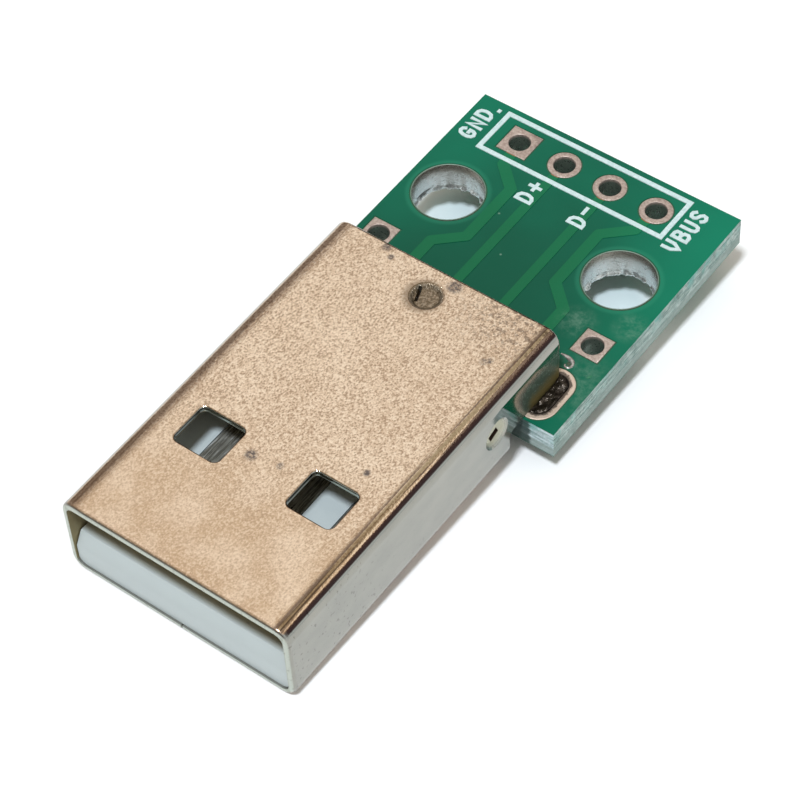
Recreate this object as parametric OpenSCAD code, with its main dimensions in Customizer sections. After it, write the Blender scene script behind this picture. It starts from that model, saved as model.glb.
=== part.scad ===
// Breakout board with a flat rectangular plug at its front edge.
// The plug's mouth looks along -Y, the header row is at +Y, and the board lies level above Z = 0.
// All sizes are in millimetres. The origin is the middle of the footprint, level with the tips of the legs.

/* [Board] */
// Width of board left bare on each side of the plug
board_margin = 1.15; // [1.15:0.05:2]
// Length of the board, front edge to rear edge
board_len = 15; // [14.5:0.1:20]
// Sideways slip of the cut board from the middle of its pattern of holes
board_slip = 0.15; // [-0.15:0.05:0.15]
// Thickness of the board, over the pads on both faces
board_t = 1.6; // [1.2:0.1:1.7]
// Thickness of the copper tracks
copper_t = 0.03; // [0.02:0.005:0.05]
// Thickness of the solder mask
mask_t = 0.03; // [0.02:0.005:0.05]
// Bare ring between a pad and the mask round it
mask_gap = 0.06; // [0.02:0.01:0.09]
// Thickness of the plating on the wall of a hole
plating_t = 0.05; // [0.03:0.01:0.06]
// Thickness of the printed ink above the mask
ink_t = 0.02; // [0.01:0.005:0.03]

/* [Header row] */
// Distance between neighbouring header holes
pin_pitch = 2.54; // [2.3:0.01:2.6]
// Diameter of a finished header hole
header_hole_d = 1.05; // [0.8:0.05:1.2]
// Diameter of a round header pad, and side of the square one
header_pad_d = 1.6; // [1.5:0.02:1.8]
// Distance of the header row from the rear edge
header_from_rear = 1.7; // [1.5:0.05:1.9]
// Gap between the pads and the printed frame round the header row
frame_gap = 0.33; // [0.21:0.01:0.36]
// Width of the frame's printed line
frame_line = 0.24; // [0.15:0.01:0.3]
// Sideways slip of the print from the board's centre line
frame_shift = -0.2; // [-0.2:0.05:0.2]

/* [Mounting holes] */
// Diameter of a finished mounting hole
mount_hole_d = 3.4; // [3:0.1:3.7]
// Distance of a mounting hole from the board's side edge
mount_from_side = 2.4; // [2.3:0.05:2.6]
// Place of the mounting holes between the shield pads (0) and the header row (1)
mount_place = 0.467; // [0.44:0.001:0.5]
// Width of the plated rim round a mounting hole
mount_rim = 0.06; // [0.06:0.01:0.15]

/* [Shield pads] */
// Side of a square shield pad
shield_pad = 1.45; // [1.4:0.05:1.6]
// Diameter of a finished shield hole
shield_hole_d = 1.05; // [0.8:0.05:1.1]
// Distance of a shield pad from the board's side edge
shield_from_side = 1.25; // [1.2:0.05:1.4]
// Distance of the shield pads from the board's front edge
shield_from_front = 5.05; // [4.9:0.05:5.2]

/* [Tracks] */
// Width of the two supply tracks
power_track_w = 0.5; // [0.3:0.05:0.6]
// Width of the two data tracks
data_track_w = 0.42; // [0.25:0.01:0.5]
// Gap between a supply track and the mounting hole that it passes
power_gap = 0.35; // [0.25:0.05:0.4]
// Length of board along which a supply track runs straight past a mounting hole
power_pass_len = 3.5; // [3:0.1:4]
// Length of board along which a supply track slants
power_slant_len = 1.1; // [0.8:0.1:1.2]

/* [Plug shell] */
// Outer width of the plug
plug_w = 12; // [11.8:0.05:12]
// Outer height of the plug
plug_h = 4.5; // [4.4:0.05:4.7]
// Length of the shell
plug_len = 19.1; // [18.8:0.1:20]
// Thickness of the sheet
sheet_t = 0.3; // [0.25:0.01:0.35]
// Outer radius of the folds
fold_r = 0.7; // [0.5:0.05:0.8]
// Length of the shell that stands on the board
board_overlap = 2.9; // [2.8:0.05:3]
// Sideways slip of the soldered plug from the board's centre line
plug_shift = -0.3; // [-0.3:0.05:0.3]
// Gap between the end of the shell's bottom plate and the board's front edge
notch_gap = 1; // [0.8:0.05:1.1]
// Radius in the corner of the cut that clears the board
notch_r = 0.45; // [0.2:0.05:0.6]
// Gap along the folded seam in the bottom plate
seam_gap = 0.06; // [0.04:0.01:0.1]

/* [Shell windows and dimples] */
// Width of a window, across the plug
window_w = 2.4; // [2:0.05:2.6]
// Length of a window, along the plug
window_len = 2.15; // [1.8:0.05:2.4]
// Corner radius of a window
window_r = 0.3; // [0.15:0.05:0.5]
// Distance between the centres of the two windows
window_spacing = 6; // [5.6:0.05:6.3]
// Distance from the mouth to the near edge of the windows
window_setback = 5.15; // [4.9:0.05:5.5]
// Diameter of a pressed dimple
dimple_d = 1.6; // [1.2:0.05:1.8]
// Diameter of a dimple's flat floor
dimple_floor_d = 1.1; // [0.6:0.05:1.2]
// Depth of a pressed dimple
dimple_depth = 0.2; // [0.1:0.02:0.24]
// Distance from the shell's rear edge to the dimple on top
top_dimple_from_rear = 1.6; // [1.5:0.05:1.8]
// Distance from the cut that clears the board to the dimples in the sides
side_dimple_from_notch = 0.9; // [0.85:0.05:1.2]
// Height of the dimples in the sides above the plug's underside
side_dimple_z = 2.5; // [2.3:0.05:2.6]
// Length of the lanced slit in the dimple on top
top_slit_len = 0.8; // [0.4:0.02:0.9]
// Width of the slit on top
top_slit_w = 0.16; // [0.08:0.02:0.3]
// Distance of the slit on top from the dimple's centre
top_slit_off = 0.44; // [0.2:0.02:0.5]
// Length of the lanced slits in the sides
side_slit_len = 0.6; // [0.3:0.02:0.7]
// Width of the slits in the sides
side_slit_w = 0.44; // [0.2:0.02:0.5]
// Distance of the slits in the sides below the dimples' centres
side_slit_drop = 0.18; // [0:0.02:0.2]
// Turn of a slit away from the edge that it runs along, in degrees
slit_turn = 20; // [0:1:40]

/* [Legs and slots] */
// Distance of a slot's centre inwards from its leg
slot_inset = 0.1; // [0:0.05:0.1]
// Width of a finished slot
slot_w = 1.3; // [1.25:0.05:1.4]
// Length of a finished slot
slot_len = 2.5; // [2.45:0.05:2.6]
// Width of the plated ring round a slot
slot_rim = 0.3; // [0.2:0.02:0.32]
// Distance of the slots from the board's front edge
slot_from_front = 1.7; // [1.65:0.05:1.8]
// Width of a shell leg
leg_w = 1.8; // [1.2:0.05:1.8]
// Length of leg that stands out below the board
leg_out = 1; // [0.5:0.05:1.2]
// Corner cut off each side of a leg's tip
leg_taper = 0.25; // [0.1:0.05:0.4]
// Height of the solder heaped round a leg below the board
mound_h = 0.4; // [0.2:0.05:0.45]
// Depth of the solder's surface below the slot's rim
solder_sink = 0.1; // [0.05:0.01:0.2]

/* [Insulator] */
// Distance from the mouth to the front of the tongue
tongue_setback = 0.1; // [0.05:0.05:0.5]
// Height of the tongue's contact face above the plug's underside
tongue_top = 2.1; // [2.05:0.05:2.35]
// Depth of the cavity above the tongue
cavity_depth = 11.9; // [11.5:0.1:12.2]
// Length of the bevel at the tongue's tip
bevel_len = 0.4; // [0.2:0.05:0.6]
// Height of the bevel at the tongue's tip
bevel_h = 0.65; // [0.2:0.05:0.7]
// Clearance between the insulator and the shell's sides and top
insulator_gap = 0.05; // [0.03:0.01:0.08]
// Clearance between the insulator and the board
board_gap = 0.1; // [0.05:0.01:0.15]
// Distance from the rear of the insulator to the rear of the shell
insulator_inset = 0.5; // [0.4:0.05:0.6]

/* [Contacts] */
// Width of a contact on the tongue
contact_w = 1; // [0.8:0.05:1.1]
// Thickness of a contact
contact_t = 0.25; // [0.2:0.01:0.3]
// Distance from the centre line to the inner contacts
inner_contact_x = 1; // [0.95:0.05:1.1]
// Distance from the centre line to the outer contacts
outer_contact_x = 3.5; // [3.4:0.05:3.6]
// Distance from the mouth to the tips of the outer contacts
outer_tip = 1.3; // [1:0.05:1.6]
// Distance from the mouth to the tips of the inner contacts
inner_tip = 2.3; // [2:0.05:2.8]
// Depth in the block at which a contact narrows to its tail
neck_inset = 1; // [0.6:0.1:1.4]
// Width of a contact's tail
tail_w = 0.5; // [0.4:0.05:0.55]
// Length of the foot at the end of a tail
foot_len = 1.1; // [0.8:0.05:1.2]
// Clearance beside a contact in its groove
groove_gap = 0.04; // [0.02:0.01:0.06]
// Width of a contact's pad on the board
tail_pad_w = 1.15; // [1.1:0.05:1.2]
// Pad left uncovered before and behind a foot
tail_pad_margin = 0.25; // [0.15:0.05:0.3]
// Height of the solder round a foot
tail_solder_h = 0.15; // [0.08:0.01:0.18]

/* [Hidden] */
$fn = 48;
// Overshoot of a cutting shape past the face that it cuts
cut = 1;

// Places along the board, from the plug's mouth at the front to the rear edge
board_setback = plug_len - board_overlap;
total_len = board_setback + board_len;
mouth_y = -total_len / 2;
front_y = mouth_y + board_setback;
rear_y = front_y + board_len;
header_y = rear_y - header_from_rear;
shield_y = front_y + shield_from_front;
mount_y = shield_y + mount_place * (header_y - shield_y);
slot_y = front_y + slot_from_front;

// Places across the board, from its centre line
board_w = plug_w + 2 * board_margin;
mount_x = board_w / 2 - mount_from_side;
shield_x = board_w / 2 - shield_from_side;
leg_x = (plug_w - sheet_t) / 2;
slot_x = leg_x - slot_inset;
power_pass_x = mount_x - mount_hole_d / 2 - power_gap - power_track_w / 2;

// Heights in the board: pads stand a track and a coat of mask above the laminate on each face
pad_t = copper_t + mask_t;
laminate_top = board_t - pad_t;
laminate_bottom = pad_t;

// Header holes, tracks and contacts, from left to right
PINS = ["ground", "data_plus", "data_minus", "supply"];
SIDES = [-1, 1];
function place(pin) = search([pin], PINS)[0] - (len(PINS) - 1) / 2;
function is_data(pin) = pin == "data_plus" || pin == "data_minus";
function header_x(pin) = place(pin) * pin_pitch;
function contact_x(pin) = sign(place(pin)) * (is_data(pin) ? inner_contact_x : outer_contact_x);
function contact_tip(pin) = is_data(pin) ? inner_tip : outer_tip;
function track_w(pin) = is_data(pin) ? data_track_w : power_track_w;

// Printed frame: the row of pads with a gap and a line all round
frame_d = header_pad_d + 2 * frame_gap + 2 * frame_line;
frame_w = frame_d + (len(PINS) - 1) * pin_pitch;

// Plug sizes measured from its mouth
notch_y = board_setback - notch_gap;
insulator_rear = plug_len - insulator_inset;
neck_y = cavity_depth + neck_inset;
drop = tongue_top - contact_t - board_t;
bend_y = insulator_rear + board_gap;
foot_y = bend_y + drop;
foot_end = foot_y + foot_len;
pad_start = foot_y - tail_pad_margin;
pad_end = foot_end + tail_pad_margin;
top_dimple_y = plug_len - top_dimple_from_rear;
side_dimple_y = notch_y - side_dimple_from_notch;

// Colours
laminate_color = [0.72, 0.76, 0.66];
mask_color = [0.09, 0.39, 0.28];
ink_color = [0.86, 0.90, 0.93];
copper_color = [0.72, 0.45, 0.28];
tin_color = [0.74, 0.64, 0.57];
silver_color = [0.75, 0.75, 0.74];
sheet_color = [0.82, 0.72, 0.62];
plastic_color = [0.88, 0.91, 0.92];
contact_color = [0.80, 0.66, 0.34];
solder_color = [0.30, 0.28, 0.26];

// A flat slab between two heights, drawn from a plan outline
module slab(from_z, to_z) {
    translate([0, 0, from_z]) linear_extrude(to_z - from_z) children();
}

// A plan outline pulled along Y from the plug's mouth, with the outline's second axis turned up to Z
module pull_y(from_y, to_y) {
    translate([0, to_y, 0]) rotate([90, 0, 0]) linear_extrude(to_y - from_y) children();
}

// A side outline (Y, Z) given an even width across X
module pull_x(width) {
    translate([-width / 2, 0, 0]) rotate([90, 0, 90]) linear_extrude(width) children();
}

// Moves children from the plug's own place (mouth at the origin) to the board
module at_plug() {
    translate([plug_shift, mouth_y, 0]) children();
}

// A line of even width with round ends and corners through a list of points
module stroke(points, width) {
    for (i = [0 : len(points) - 2]) {
        step = points[i + 1] - points[i];
        translate(points[i])
            rotate(atan2(step[1], step[0]))
                translate([0, -width / 2])
                    square([norm(step), width]);
    }
    for (point = points) translate(point) circle(d = width);
}

// A rectangle with round corners, centred
module round_rect(w, h, r) {
    square([w - 2 * r, h], center = true);
    square([w, h - 2 * r], center = true);
    for (x = SIDES, y = SIDES) translate([x * (w / 2 - r), y * (h / 2 - r)]) circle(r);
}

// A slot outline with round ends, long way along Y
module oblong(w, length) {
    square([w, length - w], center = true);
    for (y = SIDES) translate([0, y * (length - w) / 2]) circle(d = w);
}

// Plan outlines of the board's holes and pads, each grown all round by "grow"
module header_pad(pin, grow = 0) {
    translate([header_x(pin), header_y])
        if (pin == "ground") square(header_pad_d + 2 * grow, center = true);
        else circle(d = header_pad_d + 2 * grow);
}

module header_hole(pin, grow = 0) {
    translate([header_x(pin), header_y]) circle(d = header_hole_d + 2 * grow);
}

module mount_hole(side, grow = 0) {
    translate([side * mount_x, mount_y]) circle(d = mount_hole_d + 2 * grow);
}

module shield_pad(side, grow = 0) {
    translate([side * shield_x, shield_y]) square(shield_pad + 2 * grow, center = true);
}

module shield_hole(side, grow = 0) {
    translate([side * shield_x, shield_y]) circle(d = shield_hole_d + 2 * grow);
}

module slot_hole(side, grow = 0) {
    translate([side * slot_x, slot_y]) oblong(slot_w + 2 * grow, slot_len + 2 * grow);
}

module tail_pad_outline(pin, grow = 0) {
    translate([contact_x(pin), mouth_y + (pad_start + pad_end) / 2])
        square([tail_pad_w + 2 * grow, pad_end - pad_start + 2 * grow], center = true);
}

// Every hole that is drilled or milled through the board
module drilled() {
    for (pin = PINS) header_hole(pin, plating_t);
    for (side = SIDES) {
        mount_hole(side, plating_t);
        shield_hole(side, plating_t);
        slot_hole(side, plating_t);
    }
}

// Openings that the mask leaves round the pads of both faces
module mask_openings() {
    for (pin = PINS) header_pad(pin, mask_gap);
    for (side = SIDES) {
        mount_hole(side, mount_rim + mask_gap);
        shield_pad(side, mask_gap);
        slot_hole(side, slot_rim + mask_gap);
    }
}

module board_outline() {
    translate([board_slip, (front_y + rear_y) / 2]) square([board_w, board_len], center = true);
}

// Route of a track from its contact pad to its header hole; the supply tracks step in past the mounting holes
function track_route(pin) =
    let (side = sign(place(pin)))
    let (start_y = mouth_y + (pad_start + pad_end) / 2)
    let (pass_y = mount_y - power_pass_len / 2)
    let (pass_end = pass_y + power_pass_len)
    let (pass_x = side * power_pass_x)
    let (out_x = side * (abs(contact_x(pin)) + abs(header_x(pin))) / 2)
    is_data(pin)
        ? [[header_x(pin), start_y], [header_x(pin), header_y]]
        : [
            [out_x, start_y], [out_x, pass_y - power_slant_len], [pass_x, pass_y],
            [pass_x, pass_end], [out_x, pass_end + power_slant_len], [header_x(pin), header_y]
        ];

module track_outline(pin, grow = 0) {
    stroke(track_route(pin), track_w(pin) + 2 * grow);
}

// Copper track, stopped at its two pads
module track(pin) {
    color(copper_color)
        slab(laminate_top, laminate_top + copper_t)
            difference() {
                track_outline(pin);
                header_pad(pin);
                tail_pad_outline(pin);
            }
}

// Glass-fibre board with all its holes
module board_laminate() {
    color(laminate_color)
        slab(laminate_bottom, laminate_top)
            difference() {
                board_outline();
                drilled();
            }
}

// Upper coat of mask, raised over the tracks and open at the pads
module mask_top() {
    color(mask_color)
        difference() {
            union() {
                slab(laminate_top, laminate_top + mask_t) board_outline();
                for (pin = PINS) slab(laminate_top, laminate_top + pad_t) track_outline(pin, mask_t);
            }
            for (pin = PINS) slab(laminate_top - cut, laminate_top + copper_t) track_outline(pin);
            slab(laminate_top - cut, board_t + cut) {
                mask_openings();
                for (pin = PINS) tail_pad_outline(pin, mask_gap);
            }
        }
}

// Lower coat of mask, open at the pads
module mask_bottom() {
    color(mask_color)
        slab(laminate_bottom - mask_t, laminate_bottom)
            difference() {
                board_outline();
                mask_openings();
            }
}

// Printed frame round the header row, laid over the mask and its ridges
module header_print() {
    color(ink_color)
        difference() {
            slab(laminate_top + mask_t, board_t + ink_t)
                translate([frame_shift, header_y])
                    difference() {
                        square([frame_w, frame_d], center = true);
                        square([frame_w - 2 * frame_line, frame_d - 2 * frame_line], center = true);
                    }
            for (pin = PINS) slab(laminate_top, laminate_top + pad_t) track_outline(pin, mask_t);
        }
}

// Plated hole with a pad on both faces; children give the pad, the drilled hole and the finished hole
module eyelet(metal) {
    color(metal)
        difference() {
            union() {
                slab(laminate_top, board_t) children(0);
                slab(0, laminate_bottom) children(0);
                slab(0, board_t) children(1);
            }
            slab(-cut, board_t + cut) children(2);
        }
}

module header_eyelet(pin) {
    eyelet(tin_color) {
        header_pad(pin);
        header_hole(pin, plating_t);
        header_hole(pin);
    }
}

module shield_eyelet(side) {
    eyelet(tin_color) {
        shield_pad(side);
        shield_hole(side, plating_t);
        shield_hole(side);
    }
}

module slot_eyelet(side) {
    eyelet(tin_color) {
        slot_hole(side, slot_rim);
        slot_hole(side, plating_t);
        slot_hole(side);
    }
}

module mount_sleeve(side) {
    eyelet(silver_color) {
        mount_hole(side, mount_rim);
        mount_hole(side, plating_t);
        mount_hole(side);
    }
}

// Pad that takes a contact's foot, on the upper face only
module tail_pad(pin) {
    color(tin_color) slab(laminate_top, board_t) tail_pad_outline(pin);
}

// Leg on one side: it hangs from the wall, goes through the board and ends in a tapered tip
module leg(side, top_z) {
    half = leg_w / 2;
    translate([side * leg_x, slot_y - mouth_y, 0])
        pull_x(sheet_t)
            polygon([
                [-half, top_z], [-half, leg_taper - leg_out], [leg_taper - half, -leg_out],
                [half - leg_taper, -leg_out], [half, leg_taper - leg_out], [half, top_z]
            ]);
}

// Punch that presses a dimple into a face at Z = 0, and the bump below it that it raises on the inner face
module dimple_punch() {
    slope = (dimple_d - dimple_floor_d) / 2 / dimple_depth;
    translate([0, 0, -dimple_depth])
        cylinder(
            h = dimple_depth + sheet_t,
            r1 = dimple_floor_d / 2,
            r2 = dimple_d / 2 + slope * sheet_t
        );
}

module dimple_bump(grow) {
    spread = sheet_t / 2 + grow;
    translate([0, 0, -sheet_t - dimple_depth - grow])
        cylinder(h = dimple_depth, r1 = dimple_floor_d / 2 + spread, r2 = dimple_d / 2 + spread);
    translate([0, 0, -sheet_t - grow])
        cylinder(h = sheet_t / 2 + grow, r = dimple_d / 2 + spread);
}

// Moves children from the face at Z = 0 to the three dimples of the shell
module at_dimples() {
    translate([0, top_dimple_y, plug_h]) children();
    for (side = SIDES)
        translate([side * plug_w / 2, side_dimple_y, side_dimple_z]) rotate([0, side * 90, 0]) children();
}

// Two windows through one broad face
module windows() {
    for (side = SIDES)
        translate([side * window_spacing / 2, window_setback + window_len / 2])
            round_rect(window_w, window_len, window_r);
}

// Folded seam along the middle of the bottom plate, with one dovetail that locks it
module seam() {
    lock_y = notch_y / 2;
    lock_w = window_spacing / 6;
    lock_flare = 1.3 * lock_w;
    stroke([
        [0, -cut], [0, lock_y - lock_w], [lock_w, lock_y - lock_flare],
        [lock_w, lock_y + lock_flare], [0, lock_y + lock_w], [0, notch_y + cut]
    ], seam_gap);
}

// Side outline of the cut that clears the board, with a round corner
module notch_outline() {
    reach = plug_len - notch_y + cut;
    difference() {
        translate([notch_y, -cut]) square([reach, board_t + cut]);
        translate([notch_y, board_t - notch_r])
            difference() {
                square(notch_r);
                translate([notch_r, 0]) circle(notch_r);
            }
    }
}

// Stamped and folded shell
module plug_shell() {
    color(sheet_color)
        at_plug()
            difference() {
                union() {
                    difference() {
                        pull_y(0, plug_len) translate([0, plug_h / 2]) round_rect(plug_w, plug_h, fold_r);
                        pull_y(-cut, plug_len + cut)
                            translate([0, plug_h / 2])
                                round_rect(plug_w - 2 * sheet_t, plug_h - 2 * sheet_t, fold_r - sheet_t);
                        pull_x(plug_w + cut) notch_outline();
                        slab(-cut, plug_h + cut) windows();
                        slab(-cut, sheet_t + cut / 2) seam();
                    }
                    at_dimples() dimple_bump(0);
                    for (side = SIDES) leg(side, board_t + notch_r);
                }
                at_dimples() dimple_punch();
                dimple_slits();
            }
}

// Lanced slits that open each dimple off its centre
module dimple_slits() {
    depth = 2 * (sheet_t + dimple_depth);
    translate([-top_slit_off, top_dimple_y, plug_h - sheet_t])
        rotate([0, 0, slit_turn])
            cube([top_slit_w, top_slit_len, depth], center = true);
    for (side = SIDES)
        translate([side * (plug_w / 2 - sheet_t), side_dimple_y, side_dimple_z - side_slit_drop])
            rotate([slit_turn, 0, 0])
                cube([depth, side_slit_len, side_slit_w], center = true);
}

// Side outline of the moulding: tongue, block behind the cavity, and roof over the board
module insulator_outline() {
    block_rear = notch_y - board_gap;
    top_z = plug_h - sheet_t - insulator_gap;
    polygon([
        [tongue_setback, sheet_t], [block_rear, sheet_t],
        [block_rear, board_t + board_gap], [insulator_rear, board_t + board_gap],
        [insulator_rear, top_z], [cavity_depth, top_z], [cavity_depth, tongue_top],
        [tongue_setback + bevel_len, tongue_top], [tongue_setback, tongue_top - bevel_h]
    ]);
}

// Groove of one contact: open on the tongue, then a narrower tunnel through the block
module contact_groove(pin) {
    floor_z = tongue_top - contact_t;
    groove_w = contact_w + 2 * groove_gap;
    tunnel_w = tail_w + 2 * groove_gap;
    start = contact_tip(pin) - groove_gap;
    translate([contact_x(pin) - groove_w / 2, start, floor_z])
        cube([groove_w, neck_y + groove_gap - start, contact_t]);
    translate([contact_x(pin) - tunnel_w / 2, neck_y, floor_z])
        cube([tunnel_w, insulator_rear - neck_y + cut, contact_t]);
}

// White moulded insulator
module plug_insulator() {
    inner_w = plug_w - 2 * sheet_t - 2 * insulator_gap;
    inner_h = plug_h - 2 * sheet_t;
    color(plastic_color)
        at_plug()
            difference() {
                intersection() {
                    pull_x(inner_w) insulator_outline();
                    pull_y(0, plug_len)
                        translate([0, plug_h / 2]) round_rect(inner_w, inner_h, fold_r - sheet_t);
                }
                for (pin = PINS) contact_groove(pin);
                at_dimples() dimple_bump(insulator_gap);
            }
}

// Side outline of a contact: nose, strip, slanted drop and foot
module contact_outline(pin) {
    floor_z = tongue_top - contact_t;
    nose = contact_t / 2;
    bend = contact_t * tan(45 / 2);
    polygon([
        [contact_tip(pin), floor_z], [bend_y, floor_z], [foot_y, board_t], [foot_end, board_t],
        [foot_end, board_t + contact_t], [foot_y + bend, board_t + contact_t],
        [bend_y + bend, tongue_top], [contact_tip(pin) + nose, tongue_top], [contact_tip(pin), tongue_top - nose]
    ]);
}

// Contact: a broad strip on the tongue that narrows to a tail
module contact_solid(pin) {
    translate([contact_x(pin), 0, 0]) {
        pull_x(tail_w) contact_outline(pin);
        intersection() {
            pull_x(contact_w) contact_outline(pin);
            translate([-contact_w, 0, 0]) cube([2 * contact_w, neck_y, plug_h]);
        }
    }
}

module contact(pin) {
    color(contact_color) at_plug() contact_solid(pin);
}

// Solder heaped below the board: a round-ended mound that narrows towards the leg's tip
module solder_mound(side) {
    base = slot_w / 2 + slot_rim - mask_gap;
    tip = sheet_t;
    reach = (slot_len - slot_w) / 2;
    translate([side * slot_x, slot_y, 0]) {
        for (end = SIDES) translate([0, end * reach, -mound_h]) cylinder(h = mound_h, r1 = tip, r2 = base);
        pull_y(-reach, reach) polygon([[-tip, -mound_h], [tip, -mound_h], [base, 0], [-base, 0]]);
    }
}

// Solder that fills a slot round the leg, with its mound below
module leg_solder(side) {
    color(solder_color)
        difference() {
            union() {
                slab(0, board_t - solder_sink) slot_hole(side);
                solder_mound(side);
            }
            at_plug() leg(side, board_t + cut);
        }
}

// Solder that wets a pad round the contact's foot, sloping off at both ends
module tail_solder(pin) {
    color(solder_color)
        difference() {
            translate([contact_x(pin), mouth_y, 0])
                pull_x(tail_pad_w)
                    polygon([
                        [pad_start, board_t], [pad_end, board_t],
                        [foot_end, board_t + tail_solder_h], [foot_y, board_t + tail_solder_h]
                    ]);
            at_plug() contact_solid(pin);
        }
}

// Raises the part so that the tips of its legs stand on Z = 0, with the board's outline centred
module lift() {
    translate([-board_slip, 0, leg_out]) children();
}

lift() board_laminate();
lift() mask_top();
lift() mask_bottom();
lift() header_print();
lift() track("ground");  // track_ground
lift() track("data_plus");  // track_data_plus
lift() track("data_minus");  // track_data_minus
lift() track("supply");  // track_supply
lift() header_eyelet("ground");  // header_eyelet_ground
lift() header_eyelet("data_plus");  // header_eyelet_data_plus
lift() header_eyelet("data_minus");  // header_eyelet_data_minus
lift() header_eyelet("supply");  // header_eyelet_supply
lift() shield_eyelet(-1);  // shield_eyelet_left
lift() shield_eyelet(1);  // shield_eyelet_right
lift() slot_eyelet(-1);  // slot_eyelet_left
lift() slot_eyelet(1);  // slot_eyelet_right
lift() mount_sleeve(-1);  // mount_sleeve_left
lift() mount_sleeve(1);  // mount_sleeve_right
lift() tail_pad("ground");  // tail_pad_ground
lift() tail_pad("data_plus");  // tail_pad_data_plus
lift() tail_pad("data_minus");  // tail_pad_data_minus
lift() tail_pad("supply");  // tail_pad_supply
lift() plug_shell();
lift() plug_insulator();
lift() contact("ground");  // contact_ground
lift() contact("data_plus");  // contact_data_plus
lift() contact("data_minus");  // contact_data_minus
lift() contact("supply");  // contact_supply
lift() leg_solder(-1);  // leg_solder_left
lift() leg_solder(1);  // leg_solder_right
lift() tail_solder("ground");  // tail_solder_ground
lift() tail_solder("data_plus");  // tail_solder_data_plus
lift() tail_solder("data_minus");  // tail_solder_data_minus
lift() tail_solder("supply");  // tail_solder_supply
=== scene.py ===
from math import atan2, cos, pi, radians, sin

import bmesh
import bpy
from mathutils import Matrix, Quaternion, Vector, noise


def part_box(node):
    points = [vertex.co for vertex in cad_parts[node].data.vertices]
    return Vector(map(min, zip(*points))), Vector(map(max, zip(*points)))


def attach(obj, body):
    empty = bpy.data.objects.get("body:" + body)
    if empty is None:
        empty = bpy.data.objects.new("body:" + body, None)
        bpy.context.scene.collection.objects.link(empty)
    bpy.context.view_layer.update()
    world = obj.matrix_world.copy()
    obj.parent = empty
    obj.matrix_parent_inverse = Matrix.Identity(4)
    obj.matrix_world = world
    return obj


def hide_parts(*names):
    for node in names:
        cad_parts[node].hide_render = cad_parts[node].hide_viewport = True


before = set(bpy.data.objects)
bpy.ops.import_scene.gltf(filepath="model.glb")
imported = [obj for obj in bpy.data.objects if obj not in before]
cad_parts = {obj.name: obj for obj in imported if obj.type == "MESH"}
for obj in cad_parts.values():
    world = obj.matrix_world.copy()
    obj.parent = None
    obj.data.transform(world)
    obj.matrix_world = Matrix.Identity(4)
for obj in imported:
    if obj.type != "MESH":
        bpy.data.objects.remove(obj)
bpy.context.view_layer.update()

# Board laminate: the glass-fibre core, 1.6 mm with its coats. It is cut from a panel, so its edges are rough,
# streaked by the layers of cloth and scored along the lower third. A painted shadow of the plug darkens the
# front edge below it.
MM = 0.001


class Shade:
    """One output of a node, in a material or the world. Arithmetic on it adds Math nodes beside it."""

    def __init__(self, out):
        self.out = out

    def node(self, kind, settings=None, inputs=None, out=0):
        """Adds a node of one kind with its settings, and then the values or links of its inputs."""
        added = self.out.id_data.nodes.new("ShaderNode" + kind)
        for key, value in (settings or {}).items():
            setattr(added, key, value)
        for key, value in (inputs or {}).items():
            if isinstance(value, Shade):
                self.out.id_data.links.new(value.out, added.inputs[key])
            else:
                added.inputs[key].default_value = value
        return Shade(added.outputs[out]) if added.outputs else None

    def maths(self, operation, *values):
        return self.node("Math", {"operation": operation}, dict(enumerate(values)))

    def __add__(self, other):
        return self.maths("ADD", self, other)

    def __sub__(self, other):
        return self.maths("SUBTRACT", self, other)

    def __rsub__(self, other):
        return self.maths("SUBTRACT", other, self)

    def __mul__(self, other):
        return self.maths("MULTIPLY", self, other)

    __radd__ = __add__
    __rmul__ = __mul__

    def size(self):
        return self.maths("ABSOLUTE", self)

    def sign(self):
        return self.maths("SIGN", self)

    def at_least(self, low):
        return self.maths("MAXIMUM", self, low)

    def step(self, low, high):
        """0 below low, 1 above high, smooth between."""
        settings = {"interpolation_type": "SMOOTHSTEP"}
        return self.node("MapRange", settings, {"Value": self, "From Min": low, "From Max": high})

    def tint(self, low, high):
        """A colour that goes from low to high as this value goes from 0 to 1."""
        return self.node("Mix", {"data_type": "RGBA"}, {0: self, 6: low, 7: high}, out=2)

    def noise(self, scale, detail=2.0, roughness=0.5):
        """Noise with about "scale" grains to the millimetre at this place."""
        inputs = {"Vector": self, "Scale": scale, "Detail": detail, "Roughness": roughness}
        return self.node("TexNoise", None, inputs)

    def stretch(self, x, y, z):
        """This place with its axes scaled, for streaks."""
        return self.node("VectorMath", {"operation": "MULTIPLY"}, {0: self, 1: (x, y, z)})

    def axis(self, name):
        return self.node("SeparateXYZ", None, {0: self}, out=name)

    def facing(self):
        """The way the surface faces, in the part's own frame."""
        return self.node("TexCoord", None, None, out="Normal")

    def near(self, point, full, faded):
        """1 within "full" millimetres of a point, 0 beyond "faded"."""
        away = self.node("VectorMath", {"operation": "DISTANCE"}, {0: self, 1: point}, out="Value")
        return 1 - away.step(full, faded)


def colour(red, green, blue):
    """A colour given as it shows on a screen, each part from 11 to 255, as linear values."""
    return (*(((part / 255 + 0.055) / 1.055) ** 2.4 for part in (red, green, blue)), 1.0)


def start(name):
    """A new material, and the surface point in millimetres, in the part's frame or in the floor's own."""
    material = bpy.data.materials.new(name)
    material.use_nodes = True
    material.node_tree.nodes.clear()
    coords = Shade(material.node_tree.nodes.new("ShaderNodeTexCoord").outputs["Object"])
    return material, coords.node("VectorMath", {"operation": "SCALE"}, {0: coords, "Scale": 1 / MM})


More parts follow.
